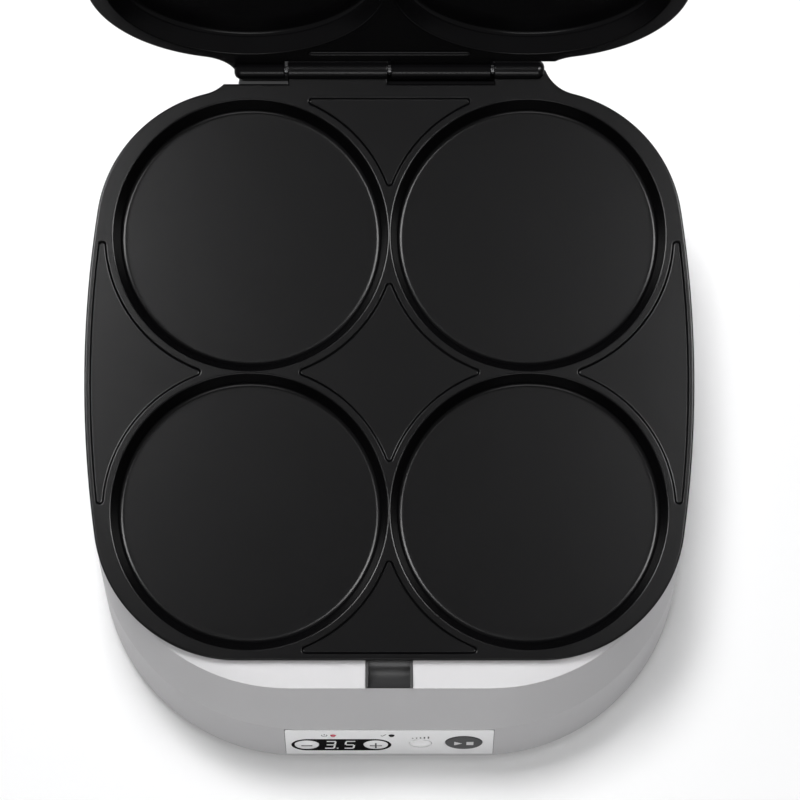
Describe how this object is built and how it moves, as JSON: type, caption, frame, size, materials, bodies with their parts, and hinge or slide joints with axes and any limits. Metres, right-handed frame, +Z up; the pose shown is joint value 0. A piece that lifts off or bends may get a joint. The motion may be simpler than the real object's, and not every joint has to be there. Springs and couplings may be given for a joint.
{
  "type": "pancake maker",
  "caption": "Countertop pancake maker: hinged lid and base with matching non-stick plates of round wells, stepped front with push buttons and a small display.",
  "frame": {"origin": "on the surface the feet stand on, under the middle of the four lower wells", "axes": "+X to the user's right, +Y to the hinge at the back, +Z up"},
  "size_m": [0.277, 0.4213, 0.3419],
  "materials": {
    "housing": "satin silver-grey paint",
    "dark_plastic": "satin black",
    "steel": "plain",
    "rubber": "matte",
    "coated_plate": "black non-stick coating on die-cast aluminium",
    "element": "oxidised",
    "shield": "bright sheet",
    "ceramic": "plain",
    "circuit_board": "green laminate",
    "display": "smoked window",
    "fascia": "pale silver satin",
    "red_lens": "clear red",
    "dark_lens": "unlit",
    "bright_button": "glossy silver-white",
    "dark_button": "dark grey"
  },
  "bodies": {
    "base": {"base_housing": "housing", "bottom_cover": "dark_plastic", "bottom_cover_screws": "steel", "rubber_feet": "rubber", "lower_cooking_plate": "coated_plate", "lower_plate_screws": "steel", "lower_heating_element": "element", "lower_heat_shield": "shield", "lower_thermal_fuse": "ceramic", "temperature_sensor": "steel", "hinge_pin": "steel", "latch_catch": "dark_plastic", "cord_gland": "rubber", "terminal_block": "dark_plastic", "power_board": "circuit_board", "relay": "dark_plastic", "control_board": "circuit_board", "control_board_screws": "steel", "button_switches": "dark_plastic", "display_module": "display", "indicator_leds": "ceramic", "control_fascia": "fascia", "display_window": "display", "power_lens": "red_lens", "ready_lens": "dark_lens"},
    "lid": {"lid_frame": "housing", "lid_cover": "housing", "upper_cooking_plate": "coated_plate", "upper_plate_screws": "steel", "upper_heating_element": "element", "upper_heat_shield": "shield", "upper_thermal_fuse": "ceramic", "lid_handle": "dark_plastic", "handle_screws": "steel", "latch_pin": "steel"},
    "latch_clip": {"latch_clip": "dark_plastic"},
    "minus_button": {"minus_button": "bright_button"},
    "plus_button": {"plus_button": "bright_button"},
    "extra_button": {"extra_button": "bright_button"},
    "start_button": {"start_button": "dark_button"}
  },
  "joints": [
    {"name": "lid_hinge", "type": "hinge", "parent": "base", "child": "lid", "pos_m": [0, 0.139, 0.062], "axis": [1, 0, 0], "range_deg": [0, 107]},
    {"name": "latch_pivot", "type": "hinge", "parent": "lid", "child": "latch_clip", "pos_m": [0, 0.23326, 0.32754], "axis": [1, 0, 0], "range_deg": [0, 9]},
    {"name": "minus_press", "type": "slide", "parent": "base", "child": "minus_button", "axis": [0, 0.9514, -0.3078], "range_m": [0, 0.0008], "stiffness_N_per_m": 400, "springref_m": -0.0002},
    {"name": "plus_press", "type": "slide", "parent": "base", "child": "plus_button", "axis": [0, 0.9514, -0.3078], "range_m": [0, 0.0008], "stiffness_N_per_m": 400, "springref_m": -0.0002},
    {"name": "extra_press", "type": "slide", "parent": "base", "child": "extra_button", "axis": [0, 0.9514, -0.3078], "range_m": [0, 0.0008], "stiffness_N_per_m": 400, "springref_m": -0.0002},
    {"name": "start_press", "type": "slide", "parent": "base", "child": "start_button", "axis": [0, 0.9514, -0.3078], "range_m": [0, 0.0008], "stiffness_N_per_m": 400, "springref_m": -0.0002}
  ]
}
